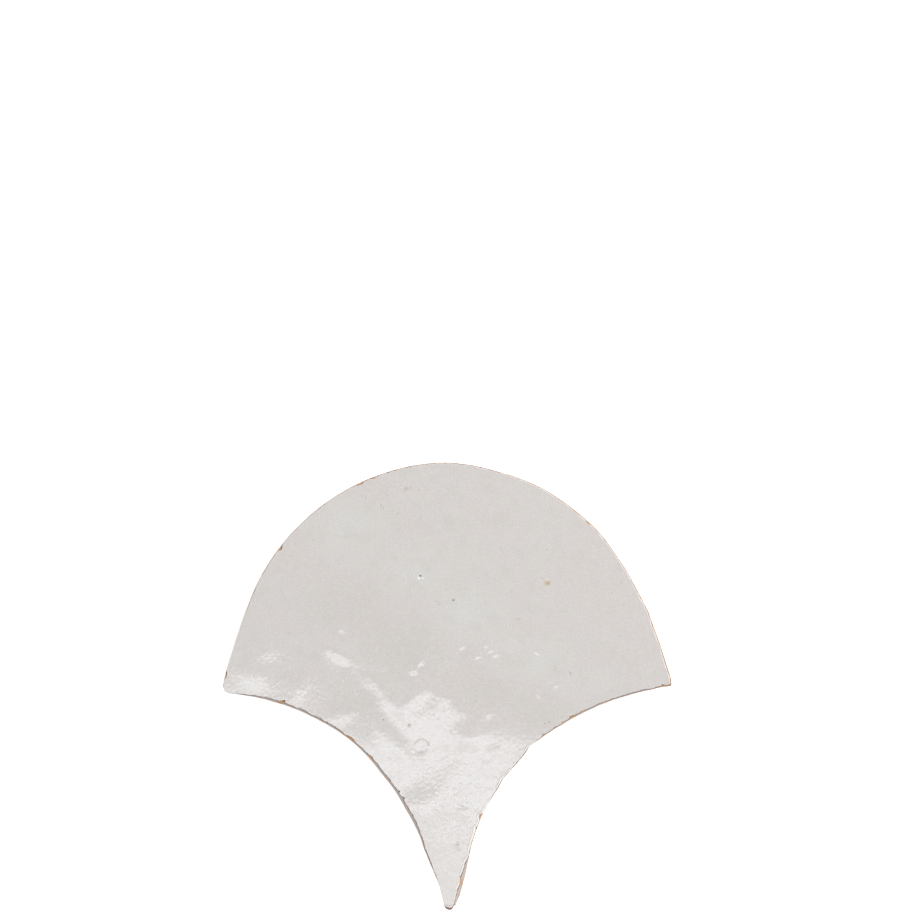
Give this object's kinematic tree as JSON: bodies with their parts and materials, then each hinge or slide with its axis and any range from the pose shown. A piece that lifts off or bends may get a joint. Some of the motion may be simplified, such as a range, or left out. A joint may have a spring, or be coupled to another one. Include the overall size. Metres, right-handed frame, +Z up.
{
  "type": "fish scale tile",
  "caption": "Hand-cut fish scale tile of white-glazed terracotta: round head, hollow sides, pointed tail and undercut edges, bedded in staggered rows on a wall or floor.",
  "frame": {"origin": "centre of the head arc, on the flat back face", "axes": "+Z up out of the glazed face, +Y to the round head, -Y to the pointed tail, +X to the right of the glazed face"},
  "size_m": [0.125, 0.1243, 0.012],
  "materials": {
    "glazed_terracotta": "clouded greyish white gloss glaze on the face, bare terracotta on the cut edges and the back"
  },
  "bodies": {
    "root": {"fish_scale_tile": "glazed_terracotta"}
  },
  "joints": []
}
